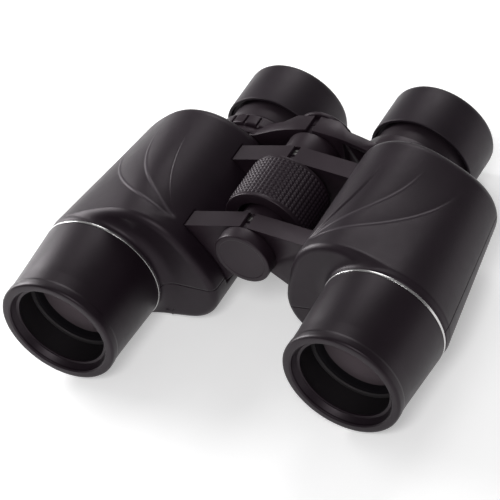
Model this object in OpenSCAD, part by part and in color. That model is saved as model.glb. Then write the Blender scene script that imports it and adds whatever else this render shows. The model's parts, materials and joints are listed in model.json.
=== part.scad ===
// Porro-prism binoculars, centre focus, rubber armoured.
// Frame: the hinge axis is the Y axis, +Y towards the eyepieces, +Z up, +X to the user's left.
// Y = 0 is the front face of the front hinge lugs. Each half is drawn in its own flat frame
// (x outwards from the hinge, z up) and then hangs down about the hinge by the droop angle.

/* [Layout] */
// Angle that each half hangs below the flat position, in degrees
droop = 10; // [8:1:16]
// Hinge axis to objective axis
objective_x = 67; // [66:0.5:69]
// Hinge axis to eyepiece axis, outwards
ocular_x = 36.7; // [36:0.1:37.4]
// Eyepiece axis below the flat plane of the half
ocular_drop = 9.4; // [9:0.1:9.8]

/* [Objective] */
// Radius of the hood at its front rim
hood_front_r = 25; // [24.6:0.1:25.4]
// Radius of the hood where it meets the trim ring
hood_rear_r = 26.2; // [26:0.1:26.5]
// Length of the hood
hood_len = 36; // [34:0.5:37]
// Radius of the objective lenses
lens_r = 20; // [19.5:0.1:20.2]

/* [Body] */
// Length of the prism body, from its front shoulder to its rear face
body_len = 66.7; // [65.5:0.1:67]
// Thickness of the rubber armour
armour_t = 1.85; // [1.6:0.05:2]
// Wall thickness of the cast housing
wall_t = 1.7; // [1.5:0.1:1.9]

/* [Hinge] */
// Outer radius of the hinge axle
axle_r = 6; // [5.9:0.05:6.2]
// Depth of each pair of hinge lugs along the axis
lug_w = 8.5; // [8:0.1:8.8]
// Radius of the tripod socket in the axle
socket_r = 3.175; // [3.175:0.001:3.2]

/* [Focusing] */
// Outer radius of the focus wheel
wheel_r = 17.9; // [17.5:0.1:18.2]
// How far the eyepieces travel out from the infinity stop
focus_travel = 8; // [7:0.5:8]

/* [Eyepieces] */
// Outer radius of the rubber eyecups
cup_r = 22.5; // [22.2:0.1:22.8]
// Radius of the eyepiece slide tubes
slide_r = 12.93; // [12.9:0.01:12.95]

/* [Hidden] */
SIDES = ["left", "right"];
CENTRE_NODES = [
    "hinge_axle", "hinge_washers", "axle_screws", "rear_sleeve", "socket_cap",
    "wheel_hub", "wheel_bush", "wheel_grip", "wheel_washers",
    "focus_rod", "drive_pin", "bridge_clip", "bridge_cap", "bridge_screw", "diopter_ring"
];
HALF_NODES = [
    "hood", "trim_ring", "barrel", "retaining_ring", "objective_cell", "crown_lens", "flint_lens",
    "housing", "top_armour", "bottom_armour", "prism_shelf", "prisms", "prism_clips", "shelf_screws",
    "rear_cover", "guide_tube", "cover_screws",
    "bridge_arm", "ocular_tube", "field_lens", "eye_lens", "eyecup"
];

$fn = 96;
hull_fn = 32;
fit_gap = 0.06;          // radial running clearance of a shaft in its hole
part_gap = 0.05;         // clearance between pieces that are only laid together
move_gap = 0.3;          // clearance between faces that move past each other

// Stations along the hinge axis
shoulder_y = -9.5;
body_rear_y = shoulder_y + body_len;
trim_y = -14.5;
trim_w = 1.1;
hood_y = trim_y - hood_len;
cap_y = -6;
nose_y = -4;
wheel_y = 12.9;
wheel_len = 23.6;
rear_lug_y = 39.3;
sleeve_y = rear_lug_y + lug_w;
sleeve_end_y = body_rear_y - 0.6;
arm_y = body_rear_y + 0.25;
arm_end_y = arm_y + 8.6;
knuckle_end_y = arm_y + 4.1;
ring_y = 61.5;
ring_w = 6;
cup_skirt_y = 75.9;
cup_end_y = 98;

// Hinge and lugs
plane_z = 12.2;          // flat top of the lugs and of the bridge, above the hinge axis
knuckle_r = 10.6;
slot_half = 1.5;         // half the width of the slot between the two lugs, at the top
front_slot_shift = 1.1;
rear_slot_shift = 0.4;
washer_t = 0.4;
pin_r = 1.4;             // screws that pin the left lugs to the axle
half_lug = (lug_w - washer_t) / 2 - 0.1;

// Optics
lens_y = -31.5;          // rim of the crown lens
barrel_bore_r = lens_r + 0.9;
barrel_wall = 2.35;
barrel_r = barrel_bore_r + barrel_wall;
collar_r = barrel_r + 0.9;
front_wall_y = shoulder_y + armour_t + wall_t;   // inner side of the housing's front wall
ocular_z = -ocular_drop;
beam_shift = norm([objective_x - ocular_x, ocular_drop]) / sqrt(2);
beam_angle = atan2(ocular_z, ocular_x - objective_x);
prism_half_len = 20.4;
prism_half_w = 9.2;
prism_corner_r = 21;
apex_flat = 0.8;
prism_h = prism_half_len - apex_flat;
shelf_y = 23.5;
shelf_t = 3.5;
strap_w = 5;
strap_t = 0.8;

// Rear cover and eyepieces
cover_y = 52.8;
guide_bore_r = slide_r + fit_gap;
guide_r = 14.2;
guide_y = 50.5;
guide_end_y = body_rear_y + 0.8;
tube_y = 38;
tube_r = 19.6;
screw_r = 1.5;

// Outline of a half seen along the axis: circles as [x, z, radius]
FRONT_OUTLINE = [[objective_x, 0, hood_rear_r + 0.3], [48, 3, 24.4], [38, -12, 18.2]];
REAR_OUTLINE = [[47, -0.5, 26], [64, 0, 18.8], [37.5, -10.5, 19]];
edge_r = 3;
// Screw places as [x, z, direction of the nearest wall]
SHELF_SCREWS = [[78, 8.2, 35], [73, -13.2, -60], [33.4, -22, -110]];
COVER_SCREWS = [[72, -5.6, -35], [55.3, 14.5, 65], [54, -15.8, -80]];

// ---- helpers ----

// A solid of revolution about the Y axis from a profile of (radius, y)
module turned() {
    rotate([-90, 0, 0]) rotate_extrude() children();
}

// A cylinder along Y from y0 to y1
module rod(r, y0, y1) {
    translate([0, y0, 0]) rotate([-90, 0, 0]) cylinder(r = r, h = y1 - y0);
}

// A tube along Y from y0 to y1
module tube(r_out, r_in, y0, y1) {
    difference() {
        rod(r_out, y0, y1);
        rod(r_in, y0 - 1, y1 + 1);
    }
}

// A flat (x, z) shape extruded from y0 to y1
module slab(y0, y1) {
    translate([0, y1, 0]) rotate([90, 0, 0]) linear_extrude(y1 - y0) children();
}

// Everything between two stations along Y
module span(y0, y1) {
    translate([-200, y0, -200]) cube([400, y1 - y0, 400]);
}

module at(p) {
    translate([p[0], 0, p[1]]) children();
}

module at_objective() {
    at([objective_x, 0]) children();
}

module at_ocular() {
    at([ocular_x, ocular_z]) children();
}

// Puts a half's flat frame in its place on the left or on the right
module half(side) {
    if (side == "left") {
        rotate([0, droop, 0]) children();
    } else {
        mirror([1, 0, 0]) rotate([0, droop, 0]) children();
    }
}

function is_left(side) = side == "left";

// ---- body shape ----

// One end disc of the body, with its outer edge rounded
module end_disc(r, edge, faces_rear) {
    steps = 3;
    arc = [for (i = [0 : steps]) let (a = 90 * i / steps) [r - edge + edge * sin(a), edge - edge * cos(a)]];
    rotate([faces_rear ? 90 : -90, 0, 0])
        rotate_extrude($fn = hull_fn) polygon(concat([[0, 0]], arc, [[0, edge + 1]]));
}

// The whole body of a half, shrunk by inset on every side
module body_form(inset) {
    edge = max(edge_r - inset, 0.6);
    hull() {
        for (c = FRONT_OUTLINE)
            translate([c[0], shoulder_y + inset, c[1]]) end_disc(c[2] - inset, edge, false);
        for (c = REAR_OUTLINE)
            translate([c[0], body_rear_y - inset, c[1]]) end_disc(c[2] - inset, edge, true);
    }
}

// A plate of one pair of lugs, as a flat shape: level top, slanted foot
module lug_shape(slot_edge) {
    polygon([[slot_edge, plane_z], [30, plane_z], [30, -14], [22, -18.1], [5, -7.6], [slot_edge, -4]]);
}

function slot_edge(side, shift) =
    (slot_half + (is_left(side) ? shift : -shift) - plane_z * sin(droop)) / cos(droop);

// One lug of a half: the plate, its own knuckle and room for the other half's knuckle
module lug(side, y0, shift) {
    own = is_left(side) ? [y0 + lug_w - half_lug, y0 + lug_w] : [y0, y0 + half_lug];
    difference() {
        union() {
            difference() {
                slab(y0, y0 + lug_w) lug_shape(slot_edge(side, shift));
                rod(knuckle_r + move_gap, y0 - 1, y0 + lug_w + 1);
            }
            rod(knuckle_r, own[0], own[1]);
            slab(own[0], own[1]) difference() {
                lug_shape(slot_edge(side, shift));
                circle(knuckle_r / 2);
            }
        }
        rod(is_left(side) ? axle_r : axle_r + fit_gap, y0 - 1, y0 + lug_w + 1);
        if (is_left(side)) translate([0, y0 + lug_w - half_lug / 2, 0])
            rotate([0, -droop, 0]) cylinder(r = pin_r, h = 2 * plane_z);
    }
}

module lug_openings(gap) {
    for (y0 = [0, rear_lug_y])
        slab(y0 - gap, y0 + lug_w + gap)
            polygon([[10, plane_z + gap], [36, plane_z + gap], [36, -20], [24, -20], [10, -11]]);
}

// ---- objective end ----

module hood() {
    color("#2b292c") at_objective() turned() polygon([
        [21.9, hood_y + 0.3], [hood_front_r - 2.2, hood_y], [hood_front_r - 0.6, hood_y + 0.8],
        [hood_front_r, hood_y + 2.5], [hood_front_r, hood_y + 8], [hood_rear_r, trim_y - 0.05],
        [barrel_r + part_gap, trim_y - 0.05], [barrel_r + part_gap, hood_y + 4.1],
        [19.3, hood_y + 4.1], [19.3, hood_y + 3.3], [20.4, hood_y + 3.3], [21.5, hood_y + 1.1]
    ]);
}

module trim_ring() {
    color("silver") at_objective()
        tube(hood_rear_r + 0.15, barrel_r + part_gap, trim_y, trim_y + trim_w);
}

module barrel() {
    color("#1f1f21") at_objective()
        tube(barrel_r, barrel_bore_r, hood_y + 4.15, front_wall_y + 0.2);
}

module retaining_ring() {
    ridges = 5;
    pitch = 0.62;
    front = lens_y - 3.4;
    teeth = [for (i = [0 : ridges - 1]) each [
        [lens_r - 0.5 - 0.12 * i, front + 0.3 + pitch * i],
        [lens_r - 1.1 - 0.12 * i, front + 0.3 + pitch * (i + 0.5)]
    ]];
    color("#26262a") at_objective() turned() polygon(concat(
        [[barrel_bore_r - part_gap, front]], teeth,
        [[lens_r - 1.2, lens_y - 0.3], [lens_r - 0.2, lens_y - 0.05],
         [barrel_bore_r - part_gap, lens_y - 0.05]]
    ));
}

module objective_cell() {
    color("#26262a") at_objective() turned() polygon([
        [lens_r + part_gap, lens_y], [barrel_bore_r - part_gap, lens_y],
        [barrel_bore_r - part_gap, lens_y + 12],
        [lens_r - 1.5, lens_y + 12], [lens_r - 1.5, lens_y + 8.2], [lens_r + part_gap, lens_y + 8.2]
    ]);
}

// A lens surface as points from the axis out to the rim; bulge is how far the middle stands out
function lens_arc(rim_r, y, bulge) =
    [for (i = [0 : 12]) let (r = rim_r * i / 12) [r, y + bulge * (1 - pow(r / rim_r, 2))]];

function reversed(list) = [for (i = [len(list) - 1 : -1 : 0]) list[i]];

module lens(rim_r, y0, bulge0, y1, bulge1) {
    turned() polygon(concat(lens_arc(rim_r, y0, bulge0), reversed(lens_arc(rim_r, y1, bulge1))));
}

module crown_lens() {
    color("#8d7f98", 0.5) at_objective() lens(lens_r, lens_y, -1.7, lens_y + 3.2, 1.5);
}

module flint_lens() {
    color("#9fb0a8", 0.5) at_objective() lens(lens_r, lens_y + 3.3, 1.5, lens_y + 8.1, -0.3);
}

// ---- prism body ----

module housing(side) {
    color("#3a3a3e") half(side) difference() {
        union() {
            intersection() {
                body_form(armour_t + part_gap);
                span(-60, cover_y - part_gap);
            }
            at_objective() rod(collar_r, trim_y + trim_w + part_gap, shoulder_y + 4);
            lug(side, 0, front_slot_shift);
            lug(side, rear_lug_y, rear_slot_shift);
        }
        housing_cavity();
        at_objective() rod(barrel_r + part_gap, -60, front_wall_y + 0.35);
    }
}

// The inside of the housing, leaving posts for the shelf and short bosses for the cover screws
module housing_cavity() {
    difference() {
        intersection() {
            body_form(armour_t + wall_t + part_gap);
            span(-60, 60);
        }
        for (p = SHELF_SCREWS) boss(p, 2.2, 12, shelf_y - part_gap);
        for (p = COVER_SCREWS) boss(p, 2.6, 46.2, cover_y);
    }
}

// A twelve-sided screw boss with a rib that ties it to the nearest wall
module boss(p, r, y0, y1) {
    rib_w = 2.4;
    at(p) rotate([0, -p[2], 0]) difference() {
        slab(y0, y1) {
            rotate(15) circle(r, $fn = 12);
            translate([0, -rib_w / 2]) square([9, rib_w]);
        }
        rod(screw_r, y0 - 1, y1 + 1);
    }
}

// Armour above or below the parting line, which runs from the inner lobe up to the outer side
module armour(side, is_top) {
    seam = 0.1;
    seam_angle = 14;
    seam_z = -15.5;
    color("#2f2d30") half(side) difference() {
        intersection() {
            difference() {
                union() {
                    body_form(0);
                    at_objective() rod(hood_rear_r + 0.1, trim_y + trim_w + part_gap, shoulder_y + 4);
                }
                body_form(armour_t);
                at_objective() rod(collar_r + part_gap, -60, shoulder_y + 4);
                slab(50, 80) rear_opening();
                lug_openings(move_gap);
            }
            translate([19.5, 0, seam_z]) rotate([0, -seam_angle, 0])
                translate([-100, -60, is_top ? seam : -100 - seam]) cube([250, 180, 100]);
        }
    }
}

// Where the armour leaves the rear cover bare
module rear_opening() {
    margin = 6;
    hull() for (c = REAR_OUTLINE) translate([c[0], c[1]]) circle(c[2] - margin, $fn = hull_fn);
    translate([ocular_x, ocular_z]) circle(guide_r + 0.3);
}

// ---- prisms ----

// Along the prism: the first one carries the beam down and in, the second finishes the shift
module at_prism(first) {
    mid = beam_shift / 2;
    turn = beam_angle + 180 + (first ? -45 : 45);
    u = [-cos(turn), -sin(turn)];
    centre = first ? [objective_x, 0] + u * mid : [ocular_x, ocular_z] - u * mid;
    at(centre) rotate([0, -turn, 0]) children();
}

module prism(y0, up) {
    translate([0, y0, 0]) scale([1, up ? 1 : -1, 1]) intersection() {
        translate([0, 0, -prism_half_w]) linear_extrude(2 * prism_half_w) polygon([
            [-prism_half_len, 0], [prism_half_len, 0], [apex_flat, prism_h], [-apex_flat, prism_h]
        ]);
        rod(prism_corner_r, -1, prism_h + 1);
    }
}

module prisms() {
    color("#c9d2d6", 0.6) {
        at_prism(true) prism(shelf_y + shelf_t + part_gap, true);
        at_prism(false) mirrored_y(shelf_y - part_gap) prism(0, true);
    }
}

module mirrored_y(y0) {
    translate([0, y0, 0]) mirror([0, 1, 0]) children();
}

// Spring strap over a prism's apex, with a foot on the shelf at each side
module strap() {
    gap = 0.1;
    leg_z = prism_half_w + gap;
    top = prism_h + gap;
    translate([-strap_w / 2, top, -leg_z - strap_t]) cube([strap_w, strap_t, 2 * (leg_z + strap_t)]);
    for (dir = [-1, 1]) {
        leg = dir > 0 ? leg_z : -leg_z - strap_t;
        foot = dir > 0 ? leg_z : -leg_z - 4.2;
        translate([-strap_w / 2, 0, leg]) cube([strap_w, top + strap_t, strap_t]);
        difference() {
            translate([-strap_w / 2, 0, foot]) cube([strap_w, strap_t, 4.2]);
            at([0, dir * (leg_z + 2.6)]) rod(0.9, -1, 2);
        }
    }
}

module prism_clips() {
    color("#b8b8b0") {
        at_prism(true) translate([0, shelf_y + shelf_t + part_gap, 0]) strap();
        at_prism(false) mirrored_y(shelf_y - part_gap) strap();
    }
}

module clip_screw_places() {
    for (dir = [-1, 1]) at([0, dir * (prism_half_w + 2.7)]) children();
}

module prism_shelf() {
    color("#77777c") difference() {
        intersection() {
            body_form(armour_t + wall_t + 2 * part_gap);
            span(shelf_y, shelf_y + shelf_t);
        }
        at_objective() rod(11, 0, 60);
        at_ocular() rod(9, 0, 60);
        for (p = SHELF_SCREWS) at(p) rod(screw_r + fit_gap, 0, 60);
        at_prism(true) clip_screw_places() rod(0.8, 0, 60);
        at_prism(false) clip_screw_places() rod(0.8, 0, 60);
    }
}

// Cheese-head screw that points forwards, its head resting on y0
module screw(shank_r, head_r, head_h, depth, y0) {
    difference() {
        union() {
            rod(shank_r, y0 - depth, y0 + 0.01);
            rod(head_r, y0, y0 + head_h);
        }
        translate([-head_r, y0 + head_h * 0.6, -0.3]) cube([2 * head_r, head_h, 0.6]);
    }
}

module shelf_screws() {
    color("#c2c2c6") {
        for (p = SHELF_SCREWS) at(p) screw(screw_r - 0.05, 2.6, 1.6, 9, shelf_y + shelf_t);
        at_prism(true) translate([0, shelf_y + shelf_t + part_gap + strap_t, 0])
            clip_screw_places() screw(0.75, 1.4, 0.8, 2.4, 0);
        at_prism(false) mirrored_y(shelf_y - part_gap - strap_t)
            clip_screw_places() screw(0.75, 1.4, 0.8, 2.4, 0);
    }
}

// ---- rear cover ----

module rear_cover() {
    color("#2a2a2d") difference() {
        union() {
            intersection() {
                body_form(armour_t + part_gap);
                span(cover_y, cover_y + 20);
            }
            intersection() {
                body_form(0.3);
                slab(cover_y + 1, body_rear_y) offset(delta = -0.15) rear_opening();
            }
        }
        at_ocular() rod(guide_r, 0, 80);
        for (p = COVER_SCREWS) at(p) {
            rod(screw_r + fit_gap, 0, 80);
            rod(2.6, body_rear_y - 2, 80);
        }
    }
}

module cover_screws() {
    color("#8d8d92") for (p = COVER_SCREWS) at(p) screw(screw_r - 0.05, 2.4, 1.6, 9, body_rear_y - 2);
}

module guide_tube() {
    color("#4a4a4e") at_ocular() tube(guide_r, guide_bore_r, guide_y, guide_end_y);
}

// ---- eyepieces ----

// The flat shape of a bridge arm: level over the hinge, dipping to the eyepiece ring
module arm_shape(inset) {
    offset(delta = -inset) polygon([
        [-0.6, plane_z], [9, plane_z], [14, 11.8], [20, 10.7], [27, 9.2], [30, 9.2],
        [30, -18], [20, -17.5], [4, -8], [-0.6, -4]
    ]);
}

// An arm seen from above: deep over the hinge, slimmer towards the eyepiece
module arm_plan() {
    arm_w = 5.2;
    translate([0, 0, -50]) linear_extrude(100) polygon([
        [-2, arm_y], [40, arm_y], [40, arm_y + arm_w], [13.5, arm_y + arm_w],
        [8, arm_end_y], [-2, arm_end_y]
    ]);
}

module bridge_arm(side) {
    left = is_left(side);
    own = left ? [arm_y, knuckle_end_y] : [knuckle_end_y + move_gap, arm_end_y];
    ring = left ? [ring_y, ring_y + ring_w, 22] : [body_rear_y + 1.2, body_rear_y + 4.2, 20.5];
    color("#2a282b") half(side) difference() {
        union() {
            difference() {
                intersection() {
                    slab(arm_y, arm_end_y) arm_shape(0);
                    arm_plan();
                }
                rod(knuckle_r + move_gap, 0, 99);
            }
            rod(knuckle_r, own[0], own[1]);
            intersection() {
                slab(own[0], own[1]) arm_shape(0);
                arm_plan();
            }
            at_ocular() rod(ring[2], ring[0], ring[1]);
        }
        rod(4.16, 0, 99);
        at_ocular() rod(slide_r + (left ? 0 : fit_gap), 0, 99);
        at_ocular() rod(guide_r + 0.5, 0, guide_end_y + (left ? 2 : 0.1));
        if (left) {
            arm_pocket();
        } else {
            at_ocular() rod(22.6, ring[1], 99);
        }
    }
}

// Hollow in the front of the left arm, with a slanted rib left across it
module arm_pocket() {
    floor_y = ring_y - 0.5;
    difference() {
        slab(arm_y - 1, floor_y) intersection() {
            arm_shape(2);
            translate([13.2, -30]) square([20, 60]);
        }
        slab(arm_y, floor_y + 1) translate([20, 0]) rotate(30) square([1.6, 60], center = true);
    }
}

module diopter_ring() {
    grooves = 22;
    y0 = body_rear_y + 4.5;
    y1 = y0 + 5.9;
    color("#2b292c") half("right") at_ocular() difference() {
        tube(21.9, slide_r + fit_gap, y0, y1);
        for (i = [0 : grooves - 1]) rotate([0, i * 360 / grooves, 0])
            translate([20.7, y0 + 1, -0.5]) cube([3, y1 - y0, 1]);
    }
}

// Eyepiece tube: a long slide tube in front and the wide eyepiece body behind
module ocular_tube(side) {
    y0 = is_left(side) ? ring_y + ring_w + part_gap : 68.8;
    color("#242426") at_ocular() turned() polygon([
        [slide_r - 0.93, tube_y], [slide_r, tube_y], [slide_r, y0], [tube_r, y0], [tube_r, 84],
        [12, 84], [12, 82], [14.6, 82], [14.6, 70.5], [slide_r - 0.93, 68.2]
    ]);
}

module field_lens() {
    color("#9aa7b0", 0.5) at_ocular() lens(slide_r - 0.98, 60, -1.5, 63, 0.2);
}

module eye_lens() {
    color("#9aa7b0", 0.5) at_ocular() lens(14.55, 77, -2.2, 81.9, -0.4);
}

module eyecup() {
    round_r = 4.2;
    arc = [for (i = [0 : 6]) let (a = 15 * i)
        [cup_r - round_r + round_r * cos(a), cup_end_y - round_r + round_r * sin(a)]];
    color("#252326") at_ocular() turned() polygon(concat(
        [[21.2, cup_skirt_y], [cup_r, cup_skirt_y]], arc,
        [[16.4, cup_end_y], [15.6, 97], [15.6, 88], [12.6, 86], [12.6, 84.05],
         [tube_r + part_gap, 84.05], [tube_r + part_gap, 78.4], [21.2, 78.4]]
    ));
}

// ---- hinge ----

module hinge_axle() {
    slot_w = 3.1;
    color("#8a8a8e") difference() {
        rod(axle_r, nose_y, sleeve_end_y);
        rod(socket_r, nose_y - 1, 6.5);
        rod(4.16, 12, 80);
        translate([-20, 15.5, -slot_w / 2]) cube([40, focus_travel + 4, slot_w]);
    }
}

module hinge_washers() {
    color("#d8d2c0") for (y0 = [0, rear_lug_y])
        tube(knuckle_r - 1, axle_r + fit_gap, y0 + half_lug + 0.1, y0 + half_lug + 0.1 + washer_t);
}

module axle_screws() {
    color("#d0d0d4") for (y0 = [0, rear_lug_y])
        translate([0, y0 + lug_w - half_lug / 2, axle_r + 0.02]) difference() {
            cylinder(r = pin_r - 0.02, h = knuckle_r - axle_r - 0.1);
            translate([0, 0, knuckle_r - axle_r - 1.3]) cylinder(r = 0.7, h = 3, $fn = 6);
        }
}

module rear_sleeve() {
    color("#2a282b") tube(11.7, axle_r, sleeve_y + part_gap, sleeve_end_y);
}

module socket_cap() {
    face_r = 12.2;
    color("#2f2c2f") turned() polygon([
        [0, cap_y], [face_r - 0.7, cap_y], [face_r, cap_y + 0.7], [face_r, -0.2],
        [axle_r + fit_gap, -0.2], [axle_r + fit_gap, nose_y - 0.2], [0, nose_y - 0.2]
    ]);
}

// ---- focus wheel ----

module wheel_hub() {
    rim_in = 12.3;
    rim_out = wheel_r - 1.6;
    hub_r = 10.4;
    y1 = wheel_y + wheel_len;
    color("#28262a") turned() polygon([
        [8.4, 9.3], [hub_r, 9.3], [hub_r, 20], [rim_in, 20], [rim_in, wheel_y + 0.4], [rim_in + 0.4, wheel_y],
        [wheel_r - 0.6, wheel_y], [wheel_r - 0.4, wheel_y + 0.3], [wheel_r - 0.4, wheel_y + 1.7],
        [rim_out, wheel_y + 1.7], [rim_out, y1 - 1.3], [wheel_r - 0.6, y1 - 1.3], [wheel_r - 0.6, y1 - 0.2],
        [wheel_r - 0.9, y1], [rim_in, y1], [rim_in, 24], [hub_r, 24], [hub_r, 38.6],
        [axle_r + fit_gap, 38.6], [axle_r + fit_gap, 28.2], [8.4, 28.2]
    ]);
}

module wheel_bush() {
    color("#b58a3c") tube(8.4, axle_r + fit_gap, 9.35, 14.2);
}

// Rubber sleeve with shallow grooves along it
module wheel_grip() {
    grooves = 24;
    y0 = wheel_y + 1.75;
    y1 = wheel_y + wheel_len - 1.35;
    color("#232124") difference() {
        tube(wheel_r, wheel_r - 1.6, y0, y1);
        for (i = [0 : grooves - 1]) rotate([0, i * 360 / grooves, 0])
            translate([wheel_r - 0.5, y0 - 1, -0.4]) cube([2, y1 - y0 + 2, 0.8]);
    }
}

module wheel_washers() {
    color("#d8d2c0") {
        tube(9.5, axle_r + fit_gap, lug_w + 0.1, lug_w + 0.6);
        tube(9.5, axle_r + fit_gap, 38.7, rear_lug_y - 0.1);
    }
}

// ---- focusing rod and bridge ----

module focus_rod() {
    color("#9a9a9e") difference() {
        rod(4.1, 14.5, arm_end_y + 0.05);
        rod(1.45, arm_end_y - 8, arm_end_y + 1);
        translate([-10, 17.5, 0]) rotate([0, 90, 0]) cylinder(r = 1.5, h = 20);
    }
}

module drive_pin() {
    pin_half = 7.9;
    color("#c8c8cc") translate([-pin_half, 17.5, 0]) rotate([0, 90, 0]) cylinder(r = 1.5, h = 2 * pin_half);
}

module bridge_clip() {
    color("#b0b0b4") tube(6.5, 4.1, sleeve_end_y + 0.15, arm_y - 0.15);
}

module bridge_cap() {
    r = 12.8;
    y0 = arm_end_y + 0.15;
    color("#2a282b") turned() polygon([
        [1.5, y0], [r - 0.3, y0], [r, y0 + 0.3], [r, y0 + 1.4], [r - 1.4, y0 + 2.5],
        [3.4, y0 + 2.7], [3.4, y0 + 1.2], [1.5, y0 + 1.2]
    ]);
}

module bridge_screw() {
    y0 = arm_end_y + 1.35;
    color("#b8b8bc") screw(1.45, 3.2, 1.5, 8, y0);
}

// ---- assembly ----

module half_part(side, name) {
    if (name == "housing") housing(side);
    if (name == "top_armour") armour(side, true);
    if (name == "bottom_armour") armour(side, false);
    if (name == "bridge_arm") bridge_arm(side);
    half(side) {
        if (name == "hood") hood();
        if (name == "trim_ring") trim_ring();
        if (name == "barrel") barrel();
        if (name == "retaining_ring") retaining_ring();
        if (name == "objective_cell") objective_cell();
        if (name == "crown_lens") crown_lens();
        if (name == "flint_lens") flint_lens();
        if (name == "prism_shelf") prism_shelf();
        if (name == "prisms") prisms();
        if (name == "prism_clips") prism_clips();
        if (name == "shelf_screws") shelf_screws();
        if (name == "rear_cover") rear_cover();
        if (name == "guide_tube") guide_tube();
        if (name == "cover_screws") cover_screws();
        if (name == "ocular_tube") ocular_tube(side);
        if (name == "field_lens") field_lens();
        if (name == "eye_lens") eye_lens();
        if (name == "eyecup") eyecup();
    }
}

for (side = SIDES, name = HALF_NODES)
    half_part(side, name);

hinge_axle();
hinge_washers();
axle_screws();
rear_sleeve();
socket_cap();
wheel_hub();
wheel_bush();
wheel_grip();
wheel_washers();
focus_rod();
drive_pin();
bridge_clip();
bridge_cap();
bridge_screw();
diopter_ring();
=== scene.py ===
"""The looks of a pair of porro-prism binoculars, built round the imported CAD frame.

Shapes are drawn in millimetres in the flat frame of one half: x outwards from the hinge, y
towards the eyepieces and z up. half_place() puts them on the left or the right side.
"""

import json
import math

import bmesh
import bpy
import numpy as np
from mathutils import Matrix, Vector

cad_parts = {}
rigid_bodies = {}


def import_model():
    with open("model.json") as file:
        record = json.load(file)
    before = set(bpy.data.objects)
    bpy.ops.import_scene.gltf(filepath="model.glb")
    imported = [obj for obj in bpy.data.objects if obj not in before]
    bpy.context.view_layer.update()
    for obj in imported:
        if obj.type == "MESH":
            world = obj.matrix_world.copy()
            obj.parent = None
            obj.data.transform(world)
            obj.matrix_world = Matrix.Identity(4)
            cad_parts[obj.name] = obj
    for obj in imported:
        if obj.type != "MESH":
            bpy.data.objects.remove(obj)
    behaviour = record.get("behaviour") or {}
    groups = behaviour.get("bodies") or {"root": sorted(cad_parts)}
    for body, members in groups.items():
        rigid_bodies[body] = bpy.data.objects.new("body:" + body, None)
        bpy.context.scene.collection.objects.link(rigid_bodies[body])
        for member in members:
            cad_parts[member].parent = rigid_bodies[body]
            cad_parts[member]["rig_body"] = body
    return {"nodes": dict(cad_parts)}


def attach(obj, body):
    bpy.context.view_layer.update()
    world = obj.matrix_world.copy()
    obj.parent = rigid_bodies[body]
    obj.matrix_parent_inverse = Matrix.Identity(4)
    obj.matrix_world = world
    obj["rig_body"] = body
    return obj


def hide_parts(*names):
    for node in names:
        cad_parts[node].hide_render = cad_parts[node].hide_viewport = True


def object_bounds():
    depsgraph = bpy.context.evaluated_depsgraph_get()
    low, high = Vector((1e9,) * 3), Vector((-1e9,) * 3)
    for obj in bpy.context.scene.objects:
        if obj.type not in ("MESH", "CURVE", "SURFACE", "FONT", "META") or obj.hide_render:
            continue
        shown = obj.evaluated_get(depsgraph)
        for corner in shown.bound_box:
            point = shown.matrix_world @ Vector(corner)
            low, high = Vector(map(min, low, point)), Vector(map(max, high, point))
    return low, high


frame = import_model()
cad_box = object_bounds()
nodes = frame["nodes"]

MM = 0.001
SIDES = ("left", "right")
DROOP = math.radians(10)  # how far each half hangs below level

# Stations along the hinge axis
HOOD_Y = -50.5
LENS_Y = -31.5
TRIM_Y = -14.5
COLLAR_Y = -13.35
SHOULDER_Y = -9.5
SIDES_Y = -3.0
WHEEL_Y = 12.9
WHEEL_END_Y = 36.5
REAR_Y = 55.7
SKIRT_Y = 75.9
CUP_END_Y = 98.0
LUGS = ((0.0, 8.5), (39.3, 47.8))

# Axes (x, z) in a half's flat frame
HINGE = (0.0, 0.0)
OBJECTIVE = (67.0, 0.0)
OCULAR = (36.7, -9.4)

# ---------------------------------------------------------------- placing and mesh helpers

TURN_STEPS = 144
CORNER_STEPS = 4
CORNER_SHARE = 0.45  # the most of a side that the rounding of one corner takes


def half_place(side):
    """From a half's flat frame in mm to the frame of the whole object in metres."""
    turn = Matrix.Rotation(DROOP, 4, "Y")
    mirror = Matrix.Diagonal((-1 if side == "right" else 1, 1, 1, 1))
    return Matrix.Scale(MM, 4) @ mirror @ turn


def join_frame(name, mesh, node, material, sharp):
    """Shades a mesh smooth and lets it ride on the body of the CAD node it stands for."""
    mesh.polygons.foreach_set("use_smooth", [True] * len(mesh.polygons))
    mesh.set_sharp_from_angle(angle=math.radians(sharp))
    mesh.materials.append(material)
    obj = bpy.data.objects.new(name, mesh)
    bpy.context.scene.collection.objects.link(obj)
    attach(obj, nodes[node]["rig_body"])
    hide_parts(node)
    return obj


def add_piece(name, verts, faces, place, node, material, sharp=35, closed=True):
    """Makes a piece from vertices in mm; the faces of a closed one are turned outwards."""
    mesh = bpy.data.meshes.new(name)
    mesh.from_pydata([tuple(v) for v in verts], [], faces)
    if closed:
        bm = bmesh.new()
        bm.from_mesh(mesh)
        bmesh.ops.remove_doubles(bm, verts=bm.verts, dist=1e-4)
        bmesh.ops.recalc_face_normals(bm, faces=bm.faces)
        bm.to_mesh(mesh)
        bm.free()
    mesh.transform(place)
    if place.determinant() < 0:
        mesh.flip_normals()
    return join_frame(name, mesh, node, material, sharp)


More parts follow.
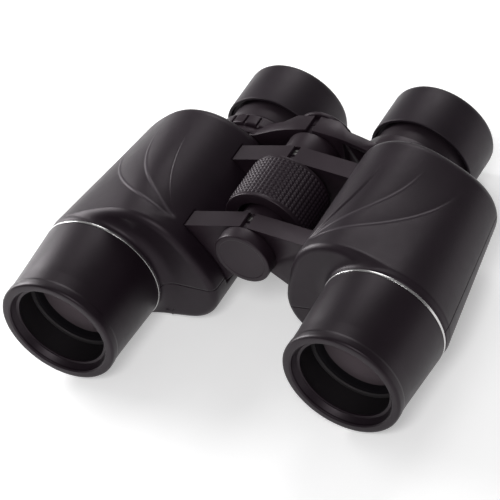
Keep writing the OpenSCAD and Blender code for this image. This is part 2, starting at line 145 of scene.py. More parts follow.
def rounded(corners):
    """A closed outline with rounded corners; each corner is (a, b) or (a, b, radius)."""
    out = []
    for i, corner in enumerate(corners):
        point = Vector(corner[:2])
        if len(corner) == 2:
            out.append(tuple(point))
            continue
        back = Vector(corners[i - 1][:2]) - point
        ahead = Vector(corners[(i + 1) % len(corners)][:2]) - point
        reach = corner[2] / math.tan(back.angle(ahead) / 2)
        reach = min(reach, CORNER_SHARE * back.length, CORNER_SHARE * ahead.length)
        start = point + back.normalized() * reach
        end = point + ahead.normalized() * reach
        for k in range(CORNER_STEPS + 1):
            t = k / CORNER_STEPS
            out.append(tuple((1 - t) ** 2 * start + 2 * t * (1 - t) * point + t * t * end))
    return out


def ring_faces(around, columns):
    """Faces of a closed outline of some columns, swept right round."""
    faces = []
    for k in range(around):
        here = k * columns
        there = (k + 1) % around * columns
        for i in range(columns):
            j = (i + 1) % columns
            faces.append((here + i, here + j, there + j, there + i))
    return faces


def turned(outline, centre):
    """Vertices and faces of a ring about an axis along Y, from (radius, y) points."""
    verts = []
    for k in range(TURN_STEPS):
        a = 2 * math.pi * k / TURN_STEPS
        for r, y in outline:
            verts.append((centre[0] + r * math.cos(a), y, centre[1] + r * math.sin(a)))
    return verts, ring_faces(TURN_STEPS, len(outline))


def softened(node, name, material, width, near=None):
    """A copy of a CAD part with its sharp edges broken; near(point in mm) limits where."""
    weld = 0.004
    flat_angle = math.radians(0.6)
    edge_angle = math.radians(32)
    bm = bmesh.new()
    bm.from_mesh(nodes[node].data)
    bmesh.ops.scale(bm, verts=bm.verts, vec=(1 / MM,) * 3)
    bmesh.ops.remove_doubles(bm, verts=bm.verts, dist=weld)
    bmesh.ops.dissolve_limit(bm, angle_limit=flat_angle, verts=bm.verts, edges=bm.edges)
    sharp = []
    for edge in bm.edges:
        if len(edge.link_faces) != 2 or edge.calc_face_angle(0) < edge_angle:
            continue
        if near is None or all(near(v.co) for v in edge.verts):
            sharp.append(edge)
    bmesh.ops.bevel(bm, geom=sharp, offset=width, segments=2, profile=0.5, affect="EDGES",
                    clamp_overlap=True)
    mesh = bpy.data.meshes.new(name)
    bm.to_mesh(mesh)
    bm.free()
    mesh.transform(Matrix.Scale(MM, 4))
    join_frame(name, mesh, node, material, sharp=38)


# ---------------------------------------------------------------- materials

# Reflections of what is neither metal nor glass
SPECULAR_LEVEL = 0.32
SPECULAR_TINT = (1.0, 0.88, 0.96)

# Sizes of the drifts of tone and gloss, in cells per metre, and the spread of the gloss
TONE_CELLS = 90
GLOSS_CELLS = 240
GLOSS_SPREAD = 0.05
BUMP_STRENGTH = 0.6

GLASS_IOR = 1.62
GLASS_SPECULAR = 0.5
GLASS_CELLS = 40


def new_material(name, colour, roughness, metallic=0.0):
    material = bpy.data.materials.new(name)
    material.use_nodes = True
    shader = material.node_tree.nodes["Principled BSDF"]
    shader.inputs["Base Color"].default_value = (*colour, 1)
    shader.inputs["Roughness"].default_value = roughness
    shader.inputs["Metallic"].default_value = metallic
    if metallic < 0.5:
        shader.inputs["Specular IOR Level"].default_value = SPECULAR_LEVEL
        shader.inputs["Specular Tint"].default_value = (*SPECULAR_TINT, 1)
    return material, shader


def noise(tree, cells, detail=2.0, stretch=None):
    """A noise texture on object coordinates, in cells per metre."""
    where = tree.nodes.new("ShaderNodeTexCoord")
    texture = tree.nodes.new("ShaderNodeTexNoise")
    texture.inputs["Scale"].default_value = cells
    texture.inputs["Detail"].default_value = detail
    if stretch is None:
        tree.links.new(where.outputs["Object"], texture.inputs["Vector"])
    else:
        mapping = tree.nodes.new("ShaderNodeMapping")
        mapping.inputs["Scale"].default_value = stretch
        tree.links.new(where.outputs["Object"], mapping.inputs["Vector"])
        tree.links.new(mapping.outputs["Vector"], texture.inputs["Vector"])
    return texture


def finish_of(name, colour, roughness, grain, depth, metallic=0.0, mottle=0.12, stretch=None):
    """A surface with slight drifts of tone and gloss and a fine relief.

    The relief has grain cells per metre and is depth metres deep. mottle is the share by which
    the tone drifts, and stretch draws the relief out along an axis.
    """
    material, shader = new_material(name, colour, roughness, metallic)
    tree = material.node_tree
    tone = tree.nodes.new("ShaderNodeValToRGB")
    for k, factor in ((0, 1 - mottle), (1, 1 + mottle)):
        tone.color_ramp.elements[k].color = (*[c * factor for c in colour], 1)
        tone.color_ramp.elements[k].position = 0.3 + 0.4 * k
    tree.links.new(noise(tree, TONE_CELLS, 3).outputs["Fac"], tone.inputs["Fac"])
    tree.links.new(tone.outputs["Color"], shader.inputs["Base Color"])
    gloss = tree.nodes.new("ShaderNodeMapRange")
    gloss.inputs["To Min"].default_value = roughness - GLOSS_SPREAD
    gloss.inputs["To Max"].default_value = roughness + GLOSS_SPREAD
    tree.links.new(noise(tree, GLOSS_CELLS).outputs["Fac"], gloss.inputs["Value"])
    tree.links.new(gloss.outputs["Result"], shader.inputs["Roughness"])
    bump = tree.nodes.new("ShaderNodeBump")
    bump.inputs["Distance"].default_value = depth
    bump.inputs["Strength"].default_value = BUMP_STRENGTH
    tree.links.new(noise(tree, grain, 2, stretch).outputs["Fac"], bump.inputs["Height"])
    tree.links.new(bump.outputs["Normal"], shader.inputs["Normal"])
    return material


def paint_highlight_lines(material, colour):
    """Paints a highlight: fades a finish to a lighter colour by a point attribute of the mesh.
    """
    tree = material.node_tree
    shader = tree.nodes["Principled BSDF"]
    plain = shader.inputs["Base Color"].links[0].from_socket
    highlight_attribute = tree.nodes.new("ShaderNodeAttribute")
    highlight_attribute.attribute_name = "painted_highlight"
    blend = tree.nodes.new("ShaderNodeMix")
    blend.data_type = "RGBA"
    colours = {s.name: s for s in blend.inputs if s.type == "RGBA"}
    result = next(s for s in blend.outputs if s.type == "RGBA")
    colours["B"].default_value = (*colour, 1)
    tree.links.new(plain, colours["A"])
    tree.links.new(highlight_attribute.outputs["Fac"], blend.inputs["Factor"])
    tree.links.new(result, shader.inputs["Base Color"])


def glass(name, colour, roughness, tint):
    """Dark glass seen as its surface reflections, with a light colour as painted reflection;
    tint colours the coating's reflection.
    """
    material, shader = new_material(name, colour, roughness)
    tree = material.node_tree
    shader.inputs["IOR"].default_value = GLASS_IOR
    shader.inputs["Specular IOR Level"].default_value = GLASS_SPECULAR
    shader.inputs["Specular Tint"].default_value = (*tint, 1)
    depth = tree.nodes.new("ShaderNodeValToRGB")
    for k, factor in ((0, 0.7), (1, 1.3)):
        depth.color_ramp.elements[k].color = (*[c * factor for c in colour], 1)
    tree.links.new(noise(tree, GLASS_CELLS, 1).outputs["Fac"], depth.inputs["Fac"])
    tree.links.new(depth.outputs["Color"], shader.inputs["Base Color"])
    return material


RUBBER = finish_of("rubber_armour", (0.0100, 0.0056, 0.0092), 0.46, 2600, 0.00005)
# Lighter rubber along the crease ridges is a painted highlight
paint_highlight_lines(RUBBER, (0.050, 0.042, 0.049))
HOOD_RUBBER = finish_of("hood_rubber", (0.0080, 0.0042, 0.0072), 0.42, 2600, 0.00004)
CUP_RUBBER = finish_of("eyecup_rubber", (0.0120, 0.0080, 0.0116), 0.48, 2200, 0.00005)
GRIP_RUBBER = finish_of("grip_rubber", (0.0150, 0.0090, 0.0135), 0.48, 3000, 0.00003)
PLASTIC = finish_of("black_plastic", (0.0150, 0.0088, 0.0130), 0.42, 3400, 0.00002)
PAINT = finish_of("painted_casting", (0.0150, 0.0088, 0.0130), 0.44, 4200, 0.00003)
ANODISED = finish_of("black_anodised", (0.006, 0.0055, 0.0062), 0.34, 5000, 0.00001,
                     metallic=0.3)
RIDGED = finish_of("ridged_black", (0.010, 0.009, 0.011), 0.3, 4000, 0.00001)
# The retaining ring's front lip is painted lighter, as a highlight along its edge
LIP_PAINTED_HIGHLIGHT = finish_of("ring_lip_painted_highlight", (0.045, 0.042, 0.044), 0.4, 4000, 0.00001)
SATIN = finish_of("satin_anodised", (0.015, 0.010, 0.0135), 0.45, 4000, 0.00001)
FLAT_BLACK = finish_of("anti_glare_black", (0.005, 0.0045, 0.0052), 0.6, 3000, 0.00002)
SILVER = finish_of("silver_trim", (0.66, 0.65, 0.65), 0.26, 900, 0.000004,
                   metallic=1.0, mottle=0.04, stretch=(1, 30, 1))
STEEL = finish_of("steel", (0.55, 0.54, 0.53), 0.28, 1500, 0.00001, metallic=1.0, mottle=0.08)
SPRING = finish_of("spring_steel", (0.42, 0.41, 0.38), 0.35, 1500, 0.00001,
                   metallic=1.0, mottle=0.08)
BRASS = finish_of("brass", (0.60, 0.42, 0.16), 0.32, 1500, 0.00001, metallic=1.0, mottle=0.08)
NYLON = finish_of("nylon", (0.60, 0.57, 0.50), 0.45, 2500, 0.00002)
ALLOY = finish_of("shelf_alloy", (0.28, 0.28, 0.29), 0.42, 2500, 0.00002, metallic=0.9)
BLACK_SCREW = finish_of("black_screw", (0.05, 0.05, 0.052), 0.3, 3000, 0.00001, metallic=0.8)
# The light base colour of the coated lenses is a painted reflection of the white surroundings
COATED_PAINTED_REFLECTION = glass("coated_glass", (0.125, 0.102, 0.114), 0.05, (1.0, 0.82, 0.92))
OPTICAL = glass("optical_glass", (0.014, 0.016, 0.016), 0.03, (0.94, 1.0, 0.97))

# ---------------------------------------------------------------- shape of the armour

# Each lobe of the body as a circle (x, z, radius), at the front and at the rear
FRONT_LOBES = np.array([[67, 0, 26.35], [48.6, 3.1, 24.3], [38, -12, 18.2]], float)
REAR_LOBES = np.array([[63.2, 0.75, 19.55], [49, 0.7, 26.3], [37.5, -10.5, 19]], float)
LOBE_BLEND = 0.7  # how softly the lobes run into each other

COLLAR_R = 26.3
COLLAR_LIP = 0.3  # length of the chamfer at the collar's front
COLLAR_DROP = 0.4  # and its depth
FILLET_DEPTH = 3.3  # hollow between the collar and the front face, along the axis
FILLET_REACH = 6.0  # and outwards
FILLET_SHARE = 0.6  # the most of the face's width that the hollow's rows take
CREST = 3.0  # rounding of the front edge
CREST_SPREAD = 1.3  # width of the rounding's rows, as a multiple of it
CREST_SHARE = 0.35  # and the most of the face's width that they take
REAR_EDGE = 4.2  # rounding of the rear edge
REAR_MARGIN = 6.0  # width of the lip round the rear cover
REAR_LIP = 0.25  # how far the lip's inner edge turns in
GUIDE_R = 14.5  # radius of the eyepiece's opening
SKIN = 1.75  # thickness of the armour

# The parting line of the two shells, a line through SEAM_POINT (x, z)
SEAM_POINT = (19.5, -15.5)
SEAM_SLOPE = math.tan(math.radians(14))
SEAM_GAP = 0.17

# The notches round the hinge lugs, with the top of the lugs and the line of their foot
NOTCH_GAP = 0.5
LUG_TOP = 12.2
LUG_FOOT = (24.0, -20.4)
LUG_FOOT_SLOPE = 9 / 14

# Where each of these lines meets the outline, in degrees round the objective axis
OUTER_SEAM_WINDOW = (-50, 50)
INNER_SEAM_WINDOW = (165, 250)
LUG_TOP_WINDOW = (95, 180)
LUG_FOOT_WINDOW = (185, 245)

# Directions round the objective axis, from straight down over the outer side
DENSE = np.radians(np.arange(-90, 270, 0.25))
LEVEL = np.ones_like(DENSE)

# Rows along the axis and columns round it, for each shell. The narrow columns lie between the
# lugs and the inner seam.
TOP_STEP = 0.4
TOP_COLUMNS = 330
BOTTOM_STEP = 1.1
BOTTOM_COLUMNS = 110
NARROW_COLUMNS = 40
NARROWEST = 0.02  # angle left to the narrow columns where there's no room for them
ROUNDING_ROWS = 11
FACE_ROWS = 7
SHOULDER_ROWS = 8
REAR_ROWS = 8


def lobes_at(y):
    t = min(max((y - SHOULDER_Y) / (REAR_Y - SHOULDER_Y), 0), 1)
    return FRONT_LOBES * (1 - t) + REAR_LOBES * t


def polar_outline(lobes, inset=0.0):
    """Distance of the outline round the lobes from the objective axis, in every direction.

    The outline is the envelope of its tangents, so an inset keeps its distance everywhere.
    """
    a = np.radians(np.arange(0, 360, 0.15))
    normal = np.stack([np.cos(a), np.sin(a)], 1)
    tangent = np.stack([-np.sin(a), np.cos(a)], 1)
    reach = normal @ lobes[:, :2].T + lobes[:, 2]
    top = reach.max(1, keepdims=True)
    weight = np.exp((reach - top) / LOBE_BLEND)
    total = weight.sum(1, keepdims=True)
    height = top[:, 0] + LOBE_BLEND * np.log(total[:, 0]) - inset
    slope = ((weight / total) * (tangent @ lobes[:, :2].T)).sum(1)
    p = normal * height[:, None] + tangent * slope[:, None] - np.array(OBJECTIVE)
    angle = np.arctan2(p[:, 1], p[:, 0])
    order = np.argsort(angle)
    radius = np.hypot(p[order, 0], p[order, 1])
    return np.interp(DENSE, angle[order], radius, period=2 * math.pi)


def quarter(share):
    """Height of a quarter circle of radius 1 above its flat end, from 1 at share 0 to 0 at 1."""
    share = np.clip(share, 0, 1)
    return 1 - np.sqrt(1 - (1 - share) ** 2)


def front_rows():
    """The collar, the hollow behind it and the front face with its rounded edge."""
    outline = polar_outline(FRONT_LOBES)
    tilt = np.gradient(np.log(outline), DENSE)
    to_normal = 1 / np.sqrt(1 + tilt ** 2)
    width = outline - COLLAR_R

    def face_row(v):
        hollow = FILLET_DEPTH * quarter(v / FILLET_REACH)
        crest = CREST * quarter((width - v) * to_normal / CREST)
        return COLLAR_R + v, SHOULDER_Y - hollow + crest

    lip_y = COLLAR_Y + COLLAR_LIP
    foot_y = face_row(0 * LEVEL)[1]
    rows = [
        (LEVEL * (COLLAR_R - COLLAR_DROP), LEVEL * COLLAR_Y),
        (LEVEL * COLLAR_R, LEVEL * lip_y),
        (LEVEL * COLLAR_R, (foot_y + lip_y) / 2),
    ]
    fillet = np.minimum(FILLET_SHARE * width, FILLET_REACH)
    edge = np.minimum(CREST_SHARE * width, CREST_SPREAD * CREST)
    turn = np.linspace(0, math.pi / 2, ROUNDING_ROWS)
    for a in turn:
        rows.append(face_row(fillet * (1 - math.cos(a))))
    for t in np.linspace(0, 1, FACE_ROWS)[1:-1]:
        rows.append(face_row(fillet + (width - edge - fillet) * t))
    for a in turn[::-1]:
        rows.append(face_row(width - edge * (1 - math.cos(a))))
    return rows


def shoulder_rows(start_y):
    """From the front face's edge, which isn't level, to the first level row of the sides."""
    last = SHOULDER_ROWS - 1
    levels = np.linspace(SHOULDER_Y, SIDES_Y, SHOULDER_ROWS)
    table = np.array([polar_outline(lobes_at(y)) for y in levels])
    pick = np.arange(len(DENSE))
    rows = []
    for t in np.linspace(0, 1, SHOULDER_ROWS)[1:-1]:
        y = start_y + (SIDES_Y - start_y) * t
        at = np.clip((y - SHOULDER_Y) / (SIDES_Y - SHOULDER_Y), 0, 1) * last
        before = np.minimum(at.astype(int), last - 1)
        share = at - before
        radius = table[before, pick] * (1 - share) + table[before + 1, pick] * share
        rows.append((radius, y))
    return rows


def side_rows(step):
    """The long sides, with a row at both ends of each notch."""
    end_y = REAR_Y - REAR_EDGE
    stations = np.linspace(SIDES_Y, end_y, int((end_y - SIDES_Y) / step))
    for lug in LUGS:
        for y in (lug[0] - NOTCH_GAP, lug[1] + NOTCH_GAP):
            stations[np.argmin(abs(stations - y))] = y
    return [(polar_outline(lobes_at(y)), LEVEL * y) for y in stations]


def rear_rows():
    """The rounded rear edge and the lip round the rear cover."""
    rows = []
    for a in np.linspace(0, math.pi / 2, REAR_ROWS)[1:]:
        y = REAR_Y - REAR_EDGE * (1 - math.sin(a))
        inset = REAR_EDGE * (1 - math.cos(a))
        rows.append((polar_outline(lobes_at(y), inset), LEVEL * y))
    opening = np.vstack([REAR_LOBES, [*OCULAR, GUIDE_R + REAR_MARGIN]])
    edge = polar_outline(opening, REAR_MARGIN)
    rim = rows[-1][0]
    for t in (0.35, 0.7, 0.92):
        rows.append((rim + (edge - rim) * t, LEVEL * REAR_Y))
    rows.append((edge, LEVEL * (REAR_Y - REAR_LIP)))
    return rows


def skin_rows(step):
    """The outside of the armour from the collar to the rear opening, as (radius, y) rows."""
    rows = front_rows()
    return rows + shoulder_rows(rows[-1][1]) + side_rows(step) + rear_rows()


def crossing(value, window):
    """The direction in a window, in degrees, where value changes sign."""
    inside = (DENSE > math.radians(window[0])) & (DENSE < math.radians(window[1]))
    a, v = DENSE[inside], value[inside]
    k = np.argmax(np.sign(v[:-1]) != np.sign(v[1:]))
    return a[k] + (a[k + 1] - a[k]) * v[k] / (v[k] - v[k + 1])


def skin_grid(is_top, step, wide):
    """Points of the shell above or below the parting line, in rows and columns.

    The wide columns run from the outer seam to the lugs, the narrow ones on to the inner seam.
    """
    gap = SEAM_GAP if is_top else -SEAM_GAP
    grid = []
    for radius, y in skin_rows(step):
        x = OBJECTIVE[0] + radius * np.cos(DENSE)
        z = OBJECTIVE[1] + radius * np.sin(DENSE)
        seam = z - SEAM_POINT[1] - SEAM_SLOPE * (x - SEAM_POINT[0]) - gap
        outer = crossing(seam, OUTER_SEAM_WINDOW)
        inner = crossing(seam, INNER_SEAM_WINDOW)
        if is_top:
            lug = crossing(z - LUG_TOP - NOTCH_GAP, LUG_TOP_WINDOW)
        else:
            outer += 2 * math.pi
            foot = z - LUG_FOOT[1] + (x - LUG_FOOT[0]) * LUG_FOOT_SLOPE
            lug = crossing(foot, LUG_FOOT_WINDOW)
            if lug < inner:
                lug = inner + NARROWEST
        angles = np.concatenate([np.linspace(outer, lug, wide)[:-1],
                                 np.linspace(lug, inner, NARROW_COLUMNS)])
        r = np.interp(angles, DENSE, radius, period=2 * math.pi)
        row_y = np.interp(angles, DENSE, y, period=2 * math.pi)
        grid.append(np.stack([OBJECTIVE[0] + r * np.cos(angles), row_y,
                              OBJECTIVE[1] + r * np.sin(angles)], 1))
    return np.array(grid)


# Creases on top of the body: a curve in plan (x, y) from its start near the front lug, how far
# the surface sinks beside it, and whether it does so on both sides. The first crease is a step
# down on its outer side, the other two stand up as fine ridges with a painted highlight along
# them.
CREASES = (
    (((27.5, -1), (35, 10), (41, 24), (41.8, 45)), 0.7, False),
    (((27.5, -1), (44, 9), (58, 24), (58.8, 44)), 0.3, True),
    (((27.5, -1.4), (50, 1), (73.5, 18), (74.3, 44)), 0.3, True),
)
CREASE_STEPS = 160
CREASE_WIDTH = 0.65  # half the width of a ridge, or the width of the step
CREASE_REACH = 3.5  # how far the hollow beside a crease runs out
CREASE_START = 0.07  # share of the crease over which it fades in
CREASE_END = 0.35  # and out
HIGHLIGHT_WIDTH = 0.75  # distance from a ridge over which the painted highlight falls by 1
HIGHLIGHT_STRENGTH = 1.3  # painted highlight along the ridge itself, where anything over 1 counts as 1
UPWARD = 0.25  # creases and their painted highlight fade where the surface faces up by less than this


def bezier(points, steps):
    t = np.linspace(0, 1, steps)[:, None]
    a, b, c, d = (np.array(p, float) for p in points)
    return (1 - t) ** 3 * a + 3 * t * (1 - t) ** 2 * b + 3 * t * t * (1 - t) * c + t ** 3 * d


def smooth(t):
    t = np.clip(t, 0, 1)
    return t * t * (3 - 2 * t)


def crease_relief(x, y):
    """How far the surface sinks at each point in plan, and how much painted highlight it gets.
    """
    sink = np.zeros(x.size)
    painted_highlight = np.zeros(x.size)
    plan = np.stack([x.ravel(), y.ravel()], 1)
    for points, drop, is_ridge in CREASES:
        curve = bezier(points, CREASE_STEPS)
        along = np.gradient(curve, axis=0)
        along /= np.linalg.norm(along, axis=1, keepdims=True)
        gap = plan[:, None, :] - curve[None, :, :]
        near = np.argmin((gap ** 2).sum(2), axis=1)
        d = gap[np.arange(len(plan)), near]
        side = along[near, 1] * d[:, 0] - along[near, 0] * d[:, 1]
        distance = np.hypot(d[:, 0], d[:, 1])
        share = near / (CREASE_STEPS - 1)
        fade = np.clip(share / CREASE_START, 0, 1) * np.clip((1 - share) / CREASE_END, 0, 1)
        fade = smooth(fade)
        step = smooth(distance / CREASE_WIDTH)
        if is_ridge:
            # a painted highlight along each ridge
            ridge_highlight = np.clip(HIGHLIGHT_STRENGTH - distance / HIGHLIGHT_WIDTH, 0, 1)
            painted_highlight = np.maximum(painted_highlight, fade * ridge_highlight)
        else:
            step = np.where(side > 0, step, 0)
        sink += drop * fade * step * np.exp(-distance / CREASE_REACH)
    return sink.reshape(x.shape), painted_highlight.reshape(x.shape)


def grid_normals(grid):
    """Unit normals of a grid of points on the body, pointing outwards."""
    body_middle = np.array([55.0, 20.0, -3.0])
    normal = np.cross(np.gradient(grid, axis=1), np.gradient(grid, axis=0))
    normal /= np.maximum(np.linalg.norm(normal, axis=2, keepdims=True), 1e-9)
    is_inwards = (normal * (grid - body_middle)).sum() < 0
    return -normal if is_inwards else normal


def in_notch(y):
    return any(start - NOTCH_GAP < y < end + NOTCH_GAP for start, end in LUGS)


def add_skin(side, is_top):
    """One rubber shell of a half, as a fine sheet with a thickness."""
    step, wide = (TOP_STEP, TOP_COLUMNS) if is_top else (BOTTOM_STEP, BOTTOM_COLUMNS)
    grid = skin_grid(is_top, step, wide)
    painted_highlight = np.zeros(grid.shape[:2])
    if is_top:
        outwards = grid_normals(grid)
        on_top = np.clip(outwards[:, :, 2] / UPWARD, 0, 1)
        sink, painted_highlight = crease_relief(grid[:, :, 0], grid[:, :, 1])
        # the painted highlight shows only where the surface faces up towards the light
        painted_highlight = painted_highlight * on_top
        grid = grid - outwards * (sink * on_top)[:, :, None]
    rows, columns = grid.shape[:2]
    middle_y = grid[:-1, :-1, 1] * 0.5 + grid[1:, 1:, 1] * 0.5
    faces = []
    for i in range(rows - 1):
        for j in range(columns - 1):
            if j >= wide - 1 and in_notch(middle_y[i, j]):
                continue
            a = i * columns + j
            face = (a, a + columns, a + columns + 1, a + 1)
            faces.append(face if is_top else face[::-1])
    node = f"{side}_{'top' if is_top else 'bottom'}_armour"
    obj = add_piece(f"{node}_skin", grid.reshape(-1, 3), faces, half_place(side), node,
                    RUBBER, sharp=60, closed=False)
    highlight_attribute = obj.data.attributes.new("painted_highlight", "FLOAT", "POINT")
    highlight_attribute.data.foreach_set("value", painted_highlight.ravel().astype(np.float32))
    thick = obj.modifiers.new("thickness", "SOLIDIFY")
    thick.thickness = SKIN * MM
    thick.offset = -1


# ---------------------------------------------------------------- outlines of turned parts

# Each outline is closed and goes through (radius, y) or (radius, y, rounding)
HOOD = [
    (21.6, HOOD_Y + 0.5, 0.3), (22.2, HOOD_Y, 0.4), (25.45, HOOD_Y, 2.1),
    (25.4, HOOD_Y + 3.6, 1.2), (25.15, HOOD_Y + 4.6, 1.2), (25.2, HOOD_Y + 10, 4),
    (26.2, TRIM_Y - 0.05, 0.35), (23.4, TRIM_Y - 0.05), (23.4, HOOD_Y + 4.1),
    (19.3, HOOD_Y + 4.1, 0.2), (19.3, HOOD_Y + 3.3, 0.2), (20.4, HOOD_Y + 3.3, 0.1),
    (21.5, HOOD_Y + 1.1, 0.2),
]
TRIM = [
    (26.38, TRIM_Y, 0.2), (26.38, TRIM_Y + 1.1, 0.2), (23.4, TRIM_Y + 1.1), (23.4, TRIM_Y),
]
BARREL = [(20.9, HOOD_Y + 4.15, 0.2), (23.25, HOOD_Y + 4.15), (23.25, -5.8), (20.9, -5.8)]
RING_LIP = [
    (19.3, LENS_Y - 4.1, 0.2), (20.85, LENS_Y - 4.1, 0.1), (20.85, LENS_Y - 3.4),
    (19.3, LENS_Y - 3.4),
]
EYECUP = [
    (21.2, SKIRT_Y, 0.25), (22.49, SKIRT_Y, 0.5), (22.49, CUP_END_Y, 4.2),
    (16.4, CUP_END_Y, 0.9), (15.6, 96.8, 0.6), (15.6, 88, 1.0), (12.6, 86, 0.3),
    (12.6, 84.05), (19.65, 84.05), (19.65, 78.4), (21.2, 78.4, 0.3),
]
WHEEL_HUB = [
    (8.4, 9.3), (10.4, 9.3, 0.3), (10.4, 20), (12.3, 20), (12.3, WHEEL_Y + 0.4, 0.2),
    (12.7, WHEEL_Y, 0.2), (17.3, WHEEL_Y, 0.25), (17.5, WHEEL_Y + 0.3, 0.2),
    (17.5, WHEEL_Y + 1.7, 0.2), (16.3, WHEEL_Y + 1.7), (16.3, WHEEL_END_Y - 1.3),
    (17.3, WHEEL_END_Y - 1.3, 0.2), (17.3, WHEEL_END_Y - 0.2, 0.2), (17.0, WHEEL_END_Y, 0.2),
    (12.3, WHEEL_END_Y, 0.3), (12.3, 24), (10.4, 24), (10.4, 38.6, 0.3), (6.06, 38.6),
    (6.06, 28.2), (8.4, 28.2),
]
SOCKET_CAP = [
    (0, -5.85), (9.9, -5.85, 0.2), (10.15, -6.0, 0.15), (12.2, -6.0, 0.75), (12.2, -0.2, 0.3),
    (6.06, -0.2), (6.06, -4.2), (0, -4.2),
]
SLEEVE = [(11.7, 47.85, 0.3), (11.7, 56.6, 0.6), (6.0, 56.6), (6.0, 47.85)]
BRIDGE_CAP = [
    (1.5, 66.2), (12.5, 66.2, 0.1), (12.8, 66.5, 0.2), (12.8, 67.6, 0.5), (11.4, 68.7, 0.8),
    (3.4, 68.9, 0.3), (3.4, 67.4), (1.5, 67.4),
]


def ridged_outline():
    """The retaining ring, with anti-glare ridges that narrow towards the lens."""
    ridges, pitch, narrowing = 5, 0.62, 0.2
    outline = [(20.85, LENS_Y - 3.4, 0.1), (20.85, LENS_Y - 0.05), (19.8, LENS_Y - 0.05),
               (17.9, LENS_Y - 0.3)]
    for ridge in reversed(range(ridges)):
        root_y = LENS_Y - 3.1 + pitch * ridge
        outline.append((18.2 - narrowing * ridge, root_y + pitch / 2))
        outline.append((19.3 - narrowing * ridge, root_y))
    return outline


def lens_outline(rim, y0, bulge0, y1, bulge1):
    """Both faces of a lens; bulge is how far the middle stands out along Y."""
    steps = 24
    r = [rim * k / steps for k in range(steps + 1)]
    front = [(v, y0 + bulge0 * (1 - (v / rim) ** 2)) for v in r]
    back = [(v, y1 + bulge1 * (1 - (v / rim) ** 2)) for v in reversed(r)]
    return front + back


def ocular_outline(side):
    """The eyepiece tube; the right one starts its wide part behind the diopter ring."""
    shoulder = 67.55 if side == "left" else 68.8
    return [
        (12.0, 38, 0.2), (12.93, 38, 0.2), (12.93, shoulder), (19.6, shoulder, 0.6),
        (19.6, 84, 0.3), (12, 84, 0.2), (12, 82), (14.6, 82), (14.6, 70.5), (12.0, 68.2),
    ]


def add_turned(name, node, outline, centre, side, material, sharp=35):
    """A turned piece of one half, or of the middle when side is None."""
    place = half_place(side) if side else Matrix.Scale(MM, 4)
    verts, faces = turned(rounded(outline), centre)
    add_piece(name, verts, faces, place, node, material, sharp)


# ---------------------------------------------------------------- patterned rings


def add_relief_ring(name, node, place, centre, outer, inner, stations, around, relief,
                    material, sharp=35):
    """A ring whose outside carries a pattern: relief(share of a turn, y) adds to the radius."""
    verts = []
    for k in range(around):
        a = 2 * math.pi * k / around
        section = [(outer + relief(k / around, y), y) for y in stations]
        section += [(inner, stations[-1]), (inner, stations[0])]
        for r, y in section:
            verts.append((centre[0] + r * math.cos(a), y, centre[1] + r * math.sin(a)))
    faces = ring_faces(around, len(stations) + 2)
    add_piece(name, verts, faces, place, node, material, sharp)


def add_grip():
    """Knurled rubber sleeve of the focus wheel: rows of small pyramids with flat tips."""
    around, along, cell_steps = 56, 12, 8
    y0, y1 = WHEEL_Y + 1.75, WHEEL_END_Y - 1.35
    height, tip = 0.65, 0.12

    def pyramid(share, y):
        u = abs((share * around) % 1 * 2 - 1)
        v = abs(((y - y0) / (y1 - y0) * along) % 1 * 2 - 1)
        return -height * max(u, v, tip)

    steps = along * cell_steps
    stations = [y0 + (y1 - y0) * k / steps for k in range(steps + 1)]
    add_relief_ring("wheel_knurl", "wheel_grip", Matrix.Scale(MM, 4), HINGE, 17.9, 16.3,
                    stations, around * cell_steps, pyramid, GRIP_RUBBER, sharp=80)


def add_diopter_ring():
    """Diopter ring with rounded raised blocks."""
    blocks, block_steps, steps = 22, 18, 24
    y0, y1 = 61.7, 67.6
    groove, flank = 0.07, 0.07  # shares of a block's pitch
    end_flank = 0.6

    def rise(distance, width):
        t = min(max(distance / width, 0), 1)
        return math.sqrt(1 - (1 - t) ** 2)

    def block(share, y):
        u = (share * blocks) % 1
        across = rise(min(u, 1 - u) - groove, flank)
        return across * rise(min(y - y0 - 0.1, y1 - y - 0.6), end_flank)

    stations = [y0 + (y1 - y0) * k / steps for k in range(steps + 1)]
    add_relief_ring("diopter_blocks", "diopter_ring", half_place("right"), OCULAR, 20.9, 13.0,
                    stations, blocks * block_steps, block, PLASTIC)


# ---------------------------------------------------------------- build the pieces


def near_lugs(p):
    """Whether a point of a housing belongs to its hinge lugs or to the webs behind them."""
    return abs(p.x) < 27 and p.z > -22 and -0.1 < p.y < 48


def at_rear(p):
    """Whether a point of a rear cover lies on its outside."""
    return p.y > 55


def add_objective(side):
    front_lens = lens_outline(20, LENS_Y, -1.7, LENS_Y + 3.2, 1.5)
    for name, node, outline, material, slot, sharp in (
        ("hood_sleeve", "hood", HOOD, HOOD_RUBBER, "rubber_armour", 35),
        ("trim_band", "trim_ring", TRIM, SILVER, "silver_trim", 35),
        ("barrel_tube", "barrel", BARREL, FLAT_BLACK, "black_anodised", 35),
        ("ring_lip", "retaining_ring", RING_LIP, LIP_PAINTED_HIGHLIGHT, "black_anodised", 35),
        ("ridged_ring", "retaining_ring", ridged_outline(), RIDGED, "black_anodised", 60),
        ("front_lens", "crown_lens", front_lens, COATED_PAINTED_REFLECTION, "coated_glass", 35),
    ):
        add_turned(f"{side}_{name}", f"{side}_{node}", outline, OBJECTIVE, side, material,
                   sharp)


def add_eyepiece(side):
    rear_lens = lens_outline(14.55, 77, -2.2, 81.9, -0.4)
    for name, node, outline, material, slot in (
        ("rubber_cup", "eyecup", EYECUP, CUP_RUBBER, "eyecup_rubber"),
        ("eyepiece_tube", "ocular_tube", ocular_outline(side), SATIN, "black_anodised"),
        ("rear_lens", "eye_lens", rear_lens, COATED_PAINTED_REFLECTION, "coated_glass"),
    ):
        add_turned(f"{side}_{name}", f"{side}_{node}", outline, OCULAR, side, material)


